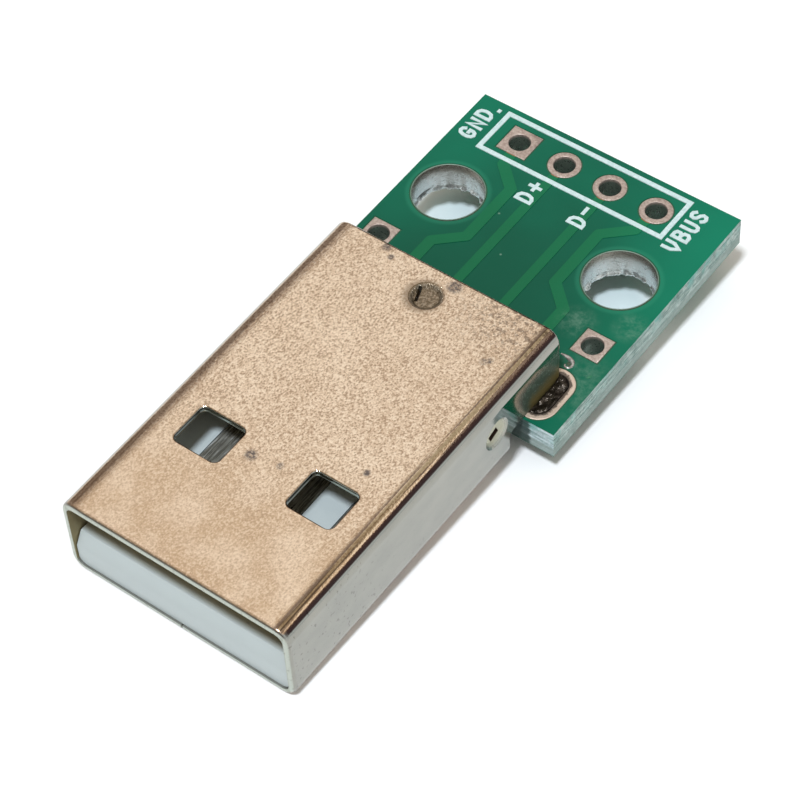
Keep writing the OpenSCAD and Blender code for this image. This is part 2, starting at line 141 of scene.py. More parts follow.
def coat(place, sockets, height=None, relief=0.0):
    """Closes a material with its shader; a height of 1 is raised by relief millimetres."""
    if height is not None:
        bump = place.node("Bump", None, {"Height": height, "Distance": relief * MM})
        sockets = dict(sockets, Normal=bump)
    shader = place.node("BsdfPrincipled", None, sockets)
    place.node("OutputMaterial", None, {"Surface": shader})


def wear(node, material):
    """Gives a carried-over solid its material."""
    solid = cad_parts[node]
    solid.data.materials.clear()
    solid.data.materials.append(material)


board_low, board_high = (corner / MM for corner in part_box("board_laminate"))
shell_low, shell_high = (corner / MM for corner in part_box("plug_shell"))
half_plug = (shell_high.x - shell_low.x) / 2
laminate, place = start("glass_fibre_edge")
height = place.axis("Z") - board_low.z
forward = 0 - place.facing().axis("Y")
cloth = place.stretch(0.5, 0.5, 8.0).noise(1.3, 4.0, 0.7)
streak = (cloth * 0.75 + place.noise(8.0, 3.0, 0.6) * 0.25).step(0.36, 0.62)
rubbed = place.noise(1.7, 4.0, 0.7)
long_edge = streak.tint(colour(112, 136, 130), colour(180, 200, 194))
long_edge = (rubbed.step(0.52, 0.64) * 0.6).tint(long_edge, colour(200, 214, 208))
long_edge = ((1 - rubbed.step(0.36, 0.46)) * 0.5).tint(long_edge, colour(92, 120, 112))
short_edge = streak.tint(colour(140, 170, 170), colour(222, 238, 242))
edge = forward.size().step(0.5, 0.9).tint(long_edge, short_edge)
chips = height.step(0.5, 1.3) * place.noise(1.1, 4.0, 0.65).step(0.46, 0.62)
edge = (chips * 0.6).tint(edge, colour(116, 190, 182))
scored = 1 - (height + cloth * 0.3).step(0.55, 0.72)
edge = (scored * 0.7).tint(edge, colour(150, 166, 160))
# Painted shadow: the front edge is dark where the plug's shell shades it.
plug_shadow = 1 - (place.axis("X") + cloth * 0.4).size().step(half_plug, half_plug + 0.2)
edge = (forward.step(0.5, 0.9) * plug_shadow * 0.9).tint(edge, colour(48, 66, 60))
face = place.facing().axis("Z").size().step(0.6, 0.9)
coat(
    place,
    {
        "Base Color": face.tint(edge, colour(44, 92, 66)),
        "Roughness": 0.75,
        "Specular IOR Level": 0.3,
    },
    streak,
    0.03,
)
wear("board_laminate", laminate)

# Solder mask: a thin green lacquer over both faces, screened on and baked. It is raised a hair over the
# tracks, and flux has left a faint haze on it near the soldered plug.
SIDES = ("left", "right")
# A patch of haze has its place, the radii where it is full and where it has gone, and its strength.
HAZE = ((4.57, 21.97, 0.2, 1.2, 0.8), (6.73, 23.03, 0.2, 1.1, 0.7), (6.5, 19.0, 0.4, 2.4, 0.6))
DUST = ((-2.04, 25.34), (-0.54, 23.34))
BURN = (5.64, 19.84)
ridge_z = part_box("mask_top")[1].z / MM
base_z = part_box("header_print")[0].z / MM
mid_x = (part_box("header_eyelet_ground")[0].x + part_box("header_eyelet_supply")[1].x) / 2 / MM
mouth_y = shell_low.y


def spot(x, y, z):
    """A place given from the middle of the hole pattern and from the plug's mouth."""
    return (mid_x + x, mouth_y + y, z)


def over(node, z):
    """The place over the middle of a solid, at a given height in millimetres."""
    low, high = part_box(node)
    middle = (low + high) / 2 / MM
    return (middle.x, middle.y, z)


def together(masks):
    """The sum of several masks."""
    first, *rest = masks
    return sum(rest, first)


mask, place = start("green_solder_mask")
# Painted shade: the green is darker near the plug, whose body shades the board, and on the left than the
# right.
off_mid = place.axis("X") - mid_x
away = place.axis("Y").step(board_low.y + 2.0, board_high.y)
aside = off_mid.step(1.5, 7.5) + (0 - off_mid).step(1.5, 7.5) * 0.55
light = (away * 0.45 + aside * 0.48 + place.noise(0.35) * 0.3).step(0.15, 1.3)
field = light.tint(colour(14, 80, 60), colour(14, 122, 93))
ridges = light.tint(colour(22, 98, 64), colour(24, 126, 88))
raised = ((place.axis("Z") - base_z) * (1 / (ridge_z - base_z))).step(0.2, 0.7)
lips = together(place.near(over("mount_sleeve_" + side, base_z), 1.9, 2.1) for side in SIDES)
green = (lips * 0.2).tint(raised.tint(field, ridges), colour(60, 150, 118))
green = (place.near(spot(*BURN, base_z), 0.08, 0.2) * 0.8).tint(green, colour(54, 50, 34))
haze = together(place.near(spot(x, y, base_z), full, faded) * weight for x, y, full, faded, weight in HAZE)
haze = haze * place.noise(2.5, 4.0, 0.7).step(0.3, 0.85)
dust = together(place.near(spot(x, y, base_z), 0.03, 0.07) for x, y in DUST)
coat(
    place,
    {
        "Base Color": (haze * 0.32 + dust * 0.3).tint(green, colour(170, 200, 180)),
        "Roughness": place.noise(1.5, 3.0) * 0.15 + 0.25,
        "Specular IOR Level": 0.12,
    },
    place.noise(2.2, 3.0, 0.55),
    0.006,
)
for node in ("mask_top", "mask_bottom"):
    wear(node, mask)

# Tracks: copper foil etched on the laminate, from the contacts' pads to the header holes. The mask covers it,
# and it is bare only in the hair-thin gap round each pad.
PINS = ("ground", "data_plus", "data_minus", "supply")
copper, place = start("copper_foil")
grain = place.noise(12.0, 3.0)
coat(
    place,
    {
        "Base Color": grain.tint(colour(150, 98, 66), colour(196, 138, 98)),
        "Metallic": 1.0,
        "Roughness": grain * 0.2 + 0.3,
    },
)
for pin in PINS:
    wear("track_" + pin, copper)

# Plated holes: header eyelets, square shield eyelets, slot eyelets for the plug's legs and the pads of its
# contacts. Copper with a dull tinned skin, rounded where the tin has flowed at the rims. Flux has burnt on to
# the inner part of the slots' rings.
WELD = 0.0002
FLAT_ANGLE = radians(0.5)
SHARP_ANGLE = radians(32)
RIDGE_ANGLE = 1.0
ROUND_STEPS = 3
PAD_EDGE = 0.035
SLOT_EDGE = 0.045


def made(form, name, material):
    """Turns a mesh in hand into a smooth piece that rides with the part."""
    mesh = bpy.data.meshes.new(name)
    form.to_mesh(mesh)
    form.free()
    for face in mesh.polygons:
        face.use_smooth = True
    mesh.materials.append(material)
    piece = bpy.data.objects.new(name, mesh)
    bpy.context.scene.collection.objects.link(piece)
    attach(piece, "root")
    return piece


def stand_for(piece, node):
    """Hides a solid, so that a piece shows in its place; the piece itself is not used."""
    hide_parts(node)


def welded(node):
    """A copy of a solid's mesh in hand, with its double points joined."""
    form = bmesh.new()
    form.from_mesh(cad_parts[node].data)
    bmesh.ops.remove_doubles(form, verts=form.verts, dist=WELD * MM)
    return form


def dressed(node, edge, material, rolls=()):
    """A copy of a solid with its sharp edges rounded by "edge" millimetres, shown in its place. Each roll is
    a radius and a test that picks the edges to be rounded by it first."""
    form = welded(node)
    bmesh.ops.dissolve_limit(form, angle_limit=FLAT_ANGLE, verts=form.verts, edges=form.edges)
    for radius, test in rolls:
        shared = [line for line in form.edges if len(line.link_faces) == 2]
        bmesh.ops.bevel(
            form,
            geom=[line for line in shared if line.calc_face_angle_signed() > RIDGE_ANGLE and test(line)],
            offset=radius * MM,
            offset_type="OFFSET",
            segments=ROUND_STEPS,
            profile=0.5,
            affect="EDGES",
            clamp_overlap=False,
        )
    piece = made(form, node + "_skin", material)
    bevel = piece.modifiers.new("edge", "BEVEL")
    bevel.width = edge * MM
    bevel.segments = ROUND_STEPS
    bevel.limit_method = "ANGLE"
    bevel.angle_limit = SHARP_ANGLE
    flats = piece.modifiers.new("flats", "WEIGHTED_NORMAL")
    flats.weight = 100
    shown = piece.evaluated_get(bpy.context.evaluated_depsgraph_get())
    piece.data = bpy.data.meshes.new_from_object(shown)
    piece.modifiers.clear()
    stand_for(piece, node)


pad_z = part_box("header_eyelet_ground")[1].z / MM
slot_low, slot_high = (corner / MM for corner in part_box("slot_eyelet_right"))
slot_mid = (slot_low + slot_high) / 2
slot_half = (slot_high - slot_low) / 2
tinned, place = start("dull_tin")
mottle = place.noise(9.0, 3.0, 0.6)
bore = 1 - place.axis("Z").step(pad_z - 0.25, pad_z - 0.05)
skin = mottle.step(0.3, 0.7).tint(colour(168, 148, 140), colour(202, 186, 176))
rings = together(place.near(over("slot_eyelet_" + side, pad_z), 1.5, 1.9) for side in SIDES)
skin = (rings * 0.65).tint(skin, colour(238, 216, 196))
off_side = (place.axis("X") - mid_x).size() - (slot_mid.x - mid_x)
off_end = ((place.axis("Y") - slot_mid.y).size() - (slot_half.y - slot_half.x)).at_least(0.0)
ragged = off_side * off_side + off_end * off_end + place.noise(5.0, 3.0, 0.7) * 0.5
skin = ((1 - ragged.step(0.78, 0.92)) * 0.85).tint(skin, colour(46, 38, 30))
coat(
    place,
    {
        "Base Color": bore.tint(skin, colour(128, 142, 132)),
        "Metallic": bore * 0.2 + 0.5,
        "Roughness": mottle * 0.3 + 0.25 - bore * 0.1,
    },
    mottle * (1 - bore),
    0.015,
)
for pin in PINS:
    dressed("header_eyelet_" + pin, PAD_EDGE, tinned)
    wear("tail_pad_" + pin, tinned)
for side in SIDES:
    dressed("shield_eyelet_" + side, PAD_EDGE, tinned)
    dressed("slot_eyelet_" + side, SLOT_EDGE, tinned)

# Mounting sleeves: the plated walls of the two large holes, silvery, with dark flecks where the drill tore
# the cloth, a dull round rim at the top and a frayed one at the bottom under a band of painted shade.
SLEEVE_WALL = 0.06
SLEEVE_STEPS = 240
FRAY_LIMIT = 0.2
plating, place = start("plated_wall")
deep = pad_z - place.axis("Z")
flecks = place.stretch(1.0, 1.0, 1.6).noise(3.0, 4.0, 0.7).step(0.54, 0.7)
soot = (1 - deep.step(0.1, 0.3)) * place.noise(2.2, 3.0, 0.6).step(0.48, 0.62)
# Painted shade: a dark band above the lower rim, for the shaded gap where the plating is torn.
torn_gap_shade = deep.step(1.24, 1.32) * (1 - deep.step(1.46, 1.52)) * place.noise(1.5, 2.0).step(0.46, 0.58)
wall = (1 - deep.step(0.1, 0.9)).tint(colour(206, 211, 210), colour(152, 148, 138))
wall = (flecks * 0.35 + soot * 0.45).tint(wall, colour(92, 86, 76))
wall = (torn_gap_shade * 0.75).tint(wall, colour(48, 44, 42))
rim = place.facing().axis("Z").step(0.5, 0.8)
coat(
    place,
    {
        "Base Color": rim.tint(wall, colour(120, 146, 132)),
        "Metallic": 0.75 - rim * 0.4,
        "Roughness": flecks * 0.2 + torn_gap_shade * 0.3 + rim * 0.25 + 0.25,
    },
    place.noise(6.0, 3.0, 0.6),
    0.012,
)


def sleeve(node):
    """A plated hole wall turned about its axis, round at the top rim and frayed inwards at the lower rim."""
    low, high = (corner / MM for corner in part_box(node))
    middle = (low + high) / 2
    outer = (high.x - low.x) / 2
    inner = outer - SLEEVE_WALL
    form = bmesh.new()
    rings = []
    for i in range(SLEEVE_STEPS):
        turn = 2 * pi * i / SLEEVE_STEPS
        way = Vector((cos(turn), sin(turn), 0))
        fray = 0.07 + 0.12 * noise.noise(way * 5 + middle) + 0.1 * noise.noise(way * 15 + middle)
        fray = min(max(fray, 0.0), FRAY_LIMIT)
        profile = [
            (outer, low.z),
            (outer, high.z - 0.02),
            (outer - 0.01, high.z),
            (inner + 0.03, high.z),
            (inner + 0.01, high.z - 0.012),
            (inner, high.z - 0.04),
            (inner, high.z - 0.5),
            (inner, low.z + 0.3),
            (inner - 0.3 * fray, low.z + 0.16),
            (inner - 0.8 * fray, low.z + 0.09),
            (inner - fray, low.z + 0.04),
            (inner - 0.7 * fray, low.z + 0.01),
            (inner, low.z),
        ]
        points = [Vector((middle.x + way.x * r, middle.y + way.y * r, z)) * MM for r, z in profile]
        rings.append([form.verts.new(point) for point in points])
    for one, two in zip(rings, rings[1:] + rings[:1]):
        for k in range(len(one)):
            form.faces.new((one[k - 1], two[k - 1], two[k], one[k]))
    bmesh.ops.recalc_face_normals(form, faces=form.faces)
    stand_for(made(form, node + "_skin", plating), node)


for side in SIDES:
    sleeve("mount_sleeve_" + side)

# Print: white ink screened over the mask, a frame round the header row and the four pin labels. The ink is
# thin, so it is a little worn and lets the green through.
ink, place = start("white_print")
worn = place.noise(6.0, 4.0, 0.65)
scuff = place.stretch(3.0, 0.6, 1.0).noise(2.0, 3.0, 0.7).step(0.66, 0.74)
thin = worn.step(0.2, 0.75) * 0.6 + scuff * 0.5
coat(
    place,
    {
        "Base Color": thin.tint(colour(212, 228, 230), colour(160, 192, 190)),
        "Roughness": 0.6,
    },
    worn,
    0.008,
)
wear("header_print", ink)

LETTER_H = 0.74
LETTER_W = 0.64
LETTER_LINE = 0.18
LINE_END = 0.4
MITRE_LIMIT = 0.6
INK_SINK = 0.005
INK_RISE = 0.015
INK_LAYER = 0.002
GLYPHS = {
    "G": [[(0.62, 0.8), (0.5, 0.96), (0.3, 1.0), (0.1, 0.9), (0.0, 0.66), (0.0, 0.34), (0.1, 0.1), (0.3, 0.0),
           (0.52, 0.06), (0.62, 0.22), (0.62, 0.45), (0.36, 0.45)]],
    "N": [[(0.0, 0.0), (0.0, 1.0), (0.6, 0.0), (0.6, 1.0)]],
    "D": [[(0.0, 0.0), (0.0, 1.0), (0.3, 1.0), (0.52, 0.87), (0.62, 0.6), (0.62, 0.4), (0.52, 0.13),
           (0.3, 0.0), (0.0, 0.0)]],
    "+": [[(0.0, 0.5), (0.7, 0.5)], [(0.35, 0.12), (0.35, 0.88)]],
    "-": [[(0.0, 0.5), (0.6, 0.5)]],
    "V": [[(0.0, 1.0), (0.02, 0.45), (0.32, 0.0), (0.62, 0.45), (0.64, 1.0)]],
    "B": [[(0.0, 0.0), (0.0, 1.0)],
          [(0.0, 1.0), (0.36, 1.0), (0.54, 0.9), (0.55, 0.68), (0.4, 0.53), (0.0, 0.53)],
          [(0.36, 0.53), (0.6, 0.4), (0.62, 0.16), (0.44, 0.0), (0.0, 0.0)]],
    "U": [[(0.0, 1.0), (0.0, 0.28), (0.1, 0.07), (0.3, 0.0), (0.5, 0.07), (0.6, 0.28), (0.6, 1.0)]],
    "S": [[(0.6, 0.84), (0.46, 0.98), (0.28, 1.0), (0.08, 0.92), (0.03, 0.73), (0.15, 0.57), (0.46, 0.45),
           (0.6, 0.29), (0.55, 0.09), (0.34, 0.0), (0.14, 0.03), (0.0, 0.18)]],
    ".": [[(0.0, 0.5), (0.1, 0.5)]],
}


def inked(form, points, low, high):
    """Adds one line of ink through a list of points: a flat ribbon with mitred corners and square ends."""
    closed = points[0] == points[-1]
    line = [Vector(p) for p in (points[:-1] if closed else points)]
    rings = []
    for i, point in enumerate(line):
        before = line[i - 1] if i or closed else None
        after = line[(i + 1) % len(line)] if i + 1 < len(line) or closed else None
        back = (point - before).normalized() if before is not None else (after - point).normalized()
        ahead = (after - point).normalized() if after is not None else back
        along = (back + ahead).normalized()
        across = Vector((-along.y, along.x)) / max(MITRE_LIMIT, along.dot(back)) * LETTER_LINE / 2
        tip = along * LETTER_LINE * LINE_END * ((after is None) - (before is None))
        corners = ((1, low), (-1, low), (-1, high), (1, high))
        rings.append([form.verts.new((*((point + tip + across * k) * MM), z * MM)) for k, z in corners])
    for i in range(len(rings) if closed else len(rings) - 1):
        one, two = rings[i], rings[(i + 1) % len(rings)]
        for k in range(4):
            form.faces.new((one[k], one[(k + 1) % 4], two[(k + 1) % 4], two[k]))
    if not closed:
        form.faces.new(rings[0][::-1])
        form.faces.new(rings[-1])


def label(name, glyphs):
    """A pin label: each glyph with the place of its centre, read along +Y with its top towards -X."""
    form = bmesh.new()
    for glyph, x, y in glyphs:
        middle = max(p[0] for line in GLYPHS[glyph] for p in line) / 2
        for layer, line in enumerate(GLYPHS[glyph]):
            places = [spot(x - (p[1] - 0.5) * LETTER_H, y + (p[0] - middle) * LETTER_W, 0) for p in line]
            points = [point[:2] for point in places]
            inked(form, points, base_z - INK_SINK, ridge_z + INK_RISE + INK_LAYER * layer)
    bmesh.ops.recalc_face_normals(form, faces=form.faces)
    piece = made(form, name, ink)
    for face in piece.data.polygons:
        face.use_smooth = False


label("label_ground", [("G", -6.22, 28.65), ("N", -6.2, 29.36), ("D", -6.22, 30.06), (".", -5.77, 30.63)])
label("label_data_plus", [("D", -1.61, 26.79), ("+", -1.58, 27.58)])
label("label_data_minus", [("D", 1.21, 26.9), ("-", 1.15, 27.64)])
label("label_supply", [("V", 5.58, 28.08), ("B", 5.61, 28.82), ("U", 5.65, 29.53), ("S", 5.64, 30.24)])

# Insulator: the white moulded block of the plug, with the tongue that carries the contacts. It is pushed into
# the shell from the front. Painted shade darkens its front, the tongue inside the mouth, and the places seen
# through the lanced dimples.
BLOCK_EDGE = 0.06
TOP_DIMPLE_Y = 17.5
SIDE_DIMPLE_Y = 14.3
top_z = shell_high.z
plug_x = (shell_low.x + shell_high.x) / 2 - mid_x
wall_x = (plug_x + half_plug, plug_x - half_plug)
lanced = [spot(plug_x, TOP_DIMPLE_Y, top_z - 0.5)] + [spot(x, SIDE_DIMPLE_Y, top_z - 2.1) for x in wall_x]
white, place = start("white_moulding")
flow = place.noise(0.9, 3.0)
pure = flow.tint(colour(190, 201, 203), colour(201, 211, 212))
# Painted shade: the faces towards the mouth and the back are darker.
painted_front_shade = place.facing().axis("Y").size().step(0.5, 0.9)
pure = (painted_front_shade * 0.6).tint(pure, colour(172, 181, 180))
from_mouth = place.axis("Y") - mouth_y
# Painted shade: the tongue is olive-dark from just inside the mouth to about 4 mm in, under the shell's top.
dim = from_mouth.step(0.4, 1.1) * (1 - from_mouth.step(3.0, 4.5))
pure = (dim * 0.85).tint(pure, colour(152, 141, 104))
# Painted shade: dark where it is seen through the lanced slits of the shell's dimples.
painted_slit_shade = together(place.near(point, 0.9, 1.1) for point in lanced)
coat(
    place,
    {
        "Base Color": painted_slit_shade.tint(pure, colour(52, 40, 32)),
        "Roughness": flow * 0.15 + 0.38,
        "Specular IOR Level": 0.4,
    },
    place.noise(9.0, 3.0),
    0.004,
)
dressed("plug_insulator", BLOCK_EDGE, white)

# Contacts: four strips stamped from thin metal with a pale flash, pushed through the block, with tails bent
# down to their pads on the board.
STRIP_EDGE = 0.03
flash, place = start("pale_flash")
drawn = place.stretch(9.0, 0.7, 4.0).noise(1.5, 3.0, 0.6)
specks = place.stretch(8.0, 0.35, 2.0).noise(1.6, 3.0, 0.7).step(0.58, 0.66)
strip = drawn.step(0.3, 0.7).tint(colour(122, 120, 110), colour(178, 177, 168))
coat(
    place,
    {
        "Base Color": (specks * 0.7).tint(strip, colour(226, 228, 226)),
        "Metallic": 0.6,
        "Roughness": drawn * 0.15 + 0.2 + specks * 0.35,
    },
    drawn,
    0.004,
)
for pin in PINS:
    dressed("contact_" + pin, STRIP_EDGE, flash)

# Shell: thin steel sheet, stamped, folded to a tube and nickel plated. The broad faces keep a fine warm grain
# from the rolling, the folds have draw lines with painted reflection bands, and the sides are smooth and
# grey.
# Handling and soldering have left stains.
SHELL_H = 4.5
SHEET = 0.3
FOLD_R = 0.7
DIMPLE_DEPTH = 0.2
# A stain has its place, and the radii where it is full and where it has gone.
STAINS = ((-1.18, 6.35, 0.14, 0.4), (0.18, 6.59, 0.08, 0.24), (3.37, 8.35, 0.08, 0.24),
          (-3.4, 18.8, 0.1, 0.32), (-2.9, 18.43, 0.06, 0.22), (0.44, 18.61, 0.2, 0.5),
          (3.89, 15.88, 0.08, 0.26), (4.11, 16.09, 0.06, 0.22))
fold_x = half_plug - FOLD_R
inner_x = half_plug - SHEET
inner_z = SHELL_H / 2 - SHEET
dimple_x = half_plug - DIMPLE_DEPTH
nickel, place = start("nickel_plated_sheet")
facing = place.facing()
off_mid = place.axis("X") - mid_x
across = (off_mid - plug_x).size()
right_half = off_mid.step(-1.0, 1.0)
from_mouth = place.axis("Y") - mouth_y
level = place.axis("Z") - (top_z - SHELL_H / 2)
lift = level + SHELL_H / 2
outside = level.size().step(1.3, 1.5)
outward = facing.axis("Z") * level.sign()
broad = outward.step(0.75, 0.86) * outside
flat = outward.step(0.99, 0.999) * outside * (1 - across.step(fold_x - 0.35, fold_x) * 0.7)

# Its broad faces: tan, darker in blotches towards the mouth, with the grain, and the draw lines of the folds
# mixed with painted reflection bands, stronger on the right.
grain = place.stretch(1.0, 0.75, 1.0).noise(13.0, 2.0, 0.6)
crisp = from_mouth.step(2.0, 9.0) * 0.5 + 0.5
tan = place.noise(0.35, 3.0, 0.55).step(0.3, 0.7).tint(colour(217, 191, 164), colour(230, 206, 180))
# Darker, more golden blotches towards the mouth.
mouth_blotches = place.noise(0.6, 2.0).step(0.3, 0.65) * (1 - from_mouth.step(3.0, 9.0))
tan = (mouth_blotches * 0.75).tint(tan, colour(200, 170, 138))
tan = ((1 - grain.step(0.36, 0.5)) * crisp * 0.75).tint(tan, colour(160, 132, 108))
tan = (grain.step(0.5, 0.64) * crisp * 0.7).tint(tan, colour(252, 234, 212))
drawn = place.stretch(5.5, 0.1, 5.5).noise(1.0, 2.0, 0.6)
# Partly painted reflection: the fold stripes mix draw lines with the dark and bright bands the folds mirror.
fold_lines_and_reflections = across.step(fold_x - 0.18, fold_x + 0.02) * broad * (right_half * 0.7 + 0.3)
tan = (fold_lines_and_reflections * (1 - drawn.step(0.44, 0.52)) * 0.8).tint(tan, colour(98, 80, 74))
tan = (fold_lines_and_reflections * drawn.step(0.54, 0.62) * 0.7).tint(tan, colour(238, 220, 196))

# Its sides: grey, specked by the mouth and low down. The inside of the tube is painted olive as shade, and
# greyer low in the mouth.
cloudy = place.stretch(1.0, 0.5, 1.0).noise(0.9, 4.0, 0.6).step(0.25, 0.75)
bare = cloudy.tint(colour(151, 151, 144), colour(162, 161, 153))
low_down = 1 - lift.step(0.3, 1.8)
handled = 1 - from_mouth.step(2.5, 8.0)
specks = place.noise(5.0, 2.0).step(0.62, 0.7) * (low_down * 0.3 + handled * 0.4 + 0.05)
bare = specks.tint(bare, colour(84, 82, 76))
# Painted shade: the inner faces of the tube are olive, and greyer low in the mouth, for the shade inside it.
inner = 1 - across.step(inner_x + 0.02, inner_x + 0.06)
inner = inner * (1 - level.size().step(inner_z + 0.02, inner_z + 0.06))
bare = (inner * 0.85).tint(bare, colour(146, 132, 92))
bare = (inner * (1 - lift.step(0.4, 0.7)) * 0.9).tint(bare, colour(120, 124, 122))

# Its cut ends, and a dull line along the lip of the mouth.
rim = facing.axis("Y").size().step(0.6, 0.9)
cut = place.noise(6.0, 3.0, 0.7).step(0.55, 0.75).tint(colour(182, 188, 178), colour(120, 118, 104))
metal = rim.tint(broad.tint(bare, tan), cut)
lip = (1 - from_mouth.step(0.06, 0.2)) * broad * place.noise(4.0, 3.0, 0.7).step(0.3, 0.55)
metal = (lip * 0.7).tint(metal, colour(120, 102, 90))
end = 1 - from_mouth.step(0.15, 0.4)

# Stains on its top, and grime at the right rear.
blots = place.noise(7.0, 3.0, 0.7).step(0.36, 0.6)
stain = together(place.near(spot(x, y, top_z), full, faded) for x, y, full, faded in STAINS)
metal = (stain * (blots * 0.7 + 0.25)).tint(metal, colour(98, 90, 88))
rear = from_mouth.step(15.6, 18.2) * off_mid.step(0.2, 3.5) * broad
grime = rear * place.noise(4.0, 4.0, 0.75).step(0.48, 0.6)
metal = (grime * 0.8).tint(metal, colour(120, 102, 88))

# Its dimples: a dark pit on top with painted shade round its rim, and pale dishes in the sides with painted
# shade in their lanced slits.
pit = place.near(spot(plug_x, TOP_DIMPLE_Y, top_z - 0.1), 0.66, 0.82)
# Painted shade: a darker ring round the top pit, set off towards its lower left.
pit_rim_shade = place.near(spot(plug_x - 0.1, TOP_DIMPLE_Y - 0.08, top_z), 0.7, 1.15) - pit
metal = (pit_rim_shade * 0.7).tint(metal, colour(128, 110, 90))
metal = (pit * (blots * 0.3 + 0.65)).tint(metal, colour(96, 82, 62))
dish = together(place.near(spot(x, SIDE_DIMPLE_Y, top_z - 2.0), 0.55, 0.8) for x in wall_x)
metal = (dish * 0.7).tint(metal, colour(206, 206, 182))
# Painted shade: the lanced slits in the side dishes are coloured dark.
dish_slit_shade = 1 - across.step(dimple_x - 0.03, dimple_x - 0.005)
metal = (dish * dish_slit_shade).tint(metal, colour(62, 46, 36))

# Flux on its walls beside the slots: a dark green coat on the right, partly flux and partly a painted
# reflection of the green board, spatter, and a brown crust above the solder.
rough = place.noise(5.0, 4.0, 0.7)
rise = place.axis("Z") - pad_z
uneven_rise = rise + rough * 0.8
wall = across.step(half_plug - 0.15, half_plug - 0.05) * from_mouth.step(13.0, 15.0)
soldered = (from_mouth + rough * 0.8).step(15.8, 16.9) * rise.step(-0.3, 0.05) * wall
# Partly painted reflection: the dark green stands for the green board mirrored in the wall, mixed with flux.
flux_and_board_reflection = (1 - uneven_rise.step(1.8, 2.5)) * soldered * right_half
metal = (flux_and_board_reflection * 0.9).tint(metal, colour(56, 80, 66))
spatter = place.noise(8.0, 3.0, 0.7).step(0.54, 0.68) * (1 - rise.step(1.6, 2.1)) * wall
metal = (spatter * 0.4).tint(metal, colour(150, 176, 162))
at_slot = 1 - (place.axis("Y") - slot_mid.y).size().step(0.9, 1.5)
crust = (1 - uneven_rise.step(0.7, 1.5)) * at_slot * soldered
metal = (crust * 0.85).tint(metal, colour(124, 108, 62))

dull = flat * 0.32 + flux_and_board_reflection * 0.2 + (dish + inner) * 0.35 + pit * 0.25 + (crust + end) * 0.2
pitted = pit * place.noise(6.0, 3.0, 0.7) * 4.0
rolled = across.step(fold_x - 0.4, fold_x + 0.35) * (3 - right_half * 2)
coat(
    place,
    {
        "Base Color": metal,
        "Metallic": 1 - flat * 0.5 - dish * 0.85 - flux_and_board_reflection * 0.5 - (pit + inner) * 0.35,
        "Roughness": dull + place.noise(26.0, 1.0) * 0.08 + 0.06,
        "Specular IOR Level": 0.2,
    },
    grain * (flat * 0.7 + broad * 0.3) * crisp + pitted - rolled,
    0.03,
)

TOUCH = 0.001
SHELL_EDGE = 0.06
END_ROLL = 0.18
WINDOW_ROLL = 0.08


def end_edge(line):
    """Whether an edge lies between the outside of the tube and its mouth or rear end."""
    one = min(line.link_faces, key=lambda face: abs(face.normal.y))
    outward = one.calc_center_median() / MM - (shell_low + shell_high) / 2
    outward.y = 0
    depths = [vert.co.y / MM for vert in line.verts]
    ends = all(min(depth - shell_low.y, shell_high.y - depth) < TOUCH for depth in depths)
    return ends and abs(one.normal.y) < 0.1 and one.normal.dot(outward) > 0


def window_edge(line):
    """Whether an edge lies round an opening in the top face."""
    return all(vert.co.z / MM > top_z - TOUCH for vert in line.verts)


dressed("plug_shell", SHELL_EDGE, nickel, ((END_ROLL, end_edge), (WINDOW_ROLL, window_edge)))

# Solder: hand-soldered joints in the slots and at the contacts' feet, dark and lumpy with burnt flux, and one
# small splash of bright solder and a drop of flux beside the plug.
LEG_GRAIN = 0.06
LEG_SWELL = 0.26
TAIL_GRAIN = 0.03
TAIL_SWELL = 0.03
SWELL_DEPTH = 0.25
SOFTENINGS = 3
BEADS = 6
BEAD_GRAIN = 0.014
SPLASH_FLAT = 0.7
DROP_FLAT = 0.8
SPLASH = ((5.03, 20.11, 0.05), (5.2, 20.12, 0.08), (5.35, 20.1, 0.11), (5.5, 20.06, 0.13),
          (5.64, 20.03, 0.11), (5.74, 19.97, 0.08), (5.79, 19.86, 0.07), (5.8, 19.75, 0.07),
          (5.76, 19.66, 0.07), (5.68, 19.6, 0.07), (5.58, 19.59, 0.06), (5.51, 19.64, 0.05),
          (5.48, 19.71, 0.04))
DROP = ((6.74, 19.62, 0.05), (6.79, 19.72, 0.07), (6.82, 19.82, 0.04))
solder, place = start("burnt_solder")
lumps = place.noise(4.0, 4.0, 0.65)
coat(
    place,
    {
        "Base Color": lumps.step(0.35, 0.7).tint(colour(38, 33, 28), colour(90, 82, 74)),
        "Metallic": 0.8,
        "Roughness": lumps * 0.25 + 0.1,
    },
    lumps * 0.7 + place.noise(9.0, 3.0, 0.6) * 0.3,
    0.07,
)


def fused(form, grain):
    """Melts a closed mesh into one soft skin with a given grain in millimetres. This is done at a thousand
    times the size, since the remesher can't solve a grain so small."""
    bmesh.ops.scale(form, vec=Vector((1, 1, 1)) / MM, verts=form.verts)
    mesh = bpy.data.meshes.new("melt")
    form.to_mesh(mesh)
    form.free()
    rough = bpy.data.objects.new("melt", mesh)
    bpy.context.scene.collection.objects.link(rough)
    remesh = rough.modifiers.new("melt", "REMESH")
    remesh.mode = "VOXEL"
    remesh.voxel_size = grain
    form = bmesh.new()
    form.from_mesh(rough.evaluated_get(bpy.context.evaluated_depsgraph_get()).to_mesh())
    bpy.data.objects.remove(rough)
    bmesh.ops.scale(form, vec=Vector((1, 1, 1)) * MM, verts=form.verts)
    for _ in range(SOFTENINGS):
        bmesh.ops.smooth_vert(
            form, verts=form.verts, factor=0.5, use_axis_x=True, use_axis_y=True, use_axis_z=True
        )
    form.normal_update()
    return form


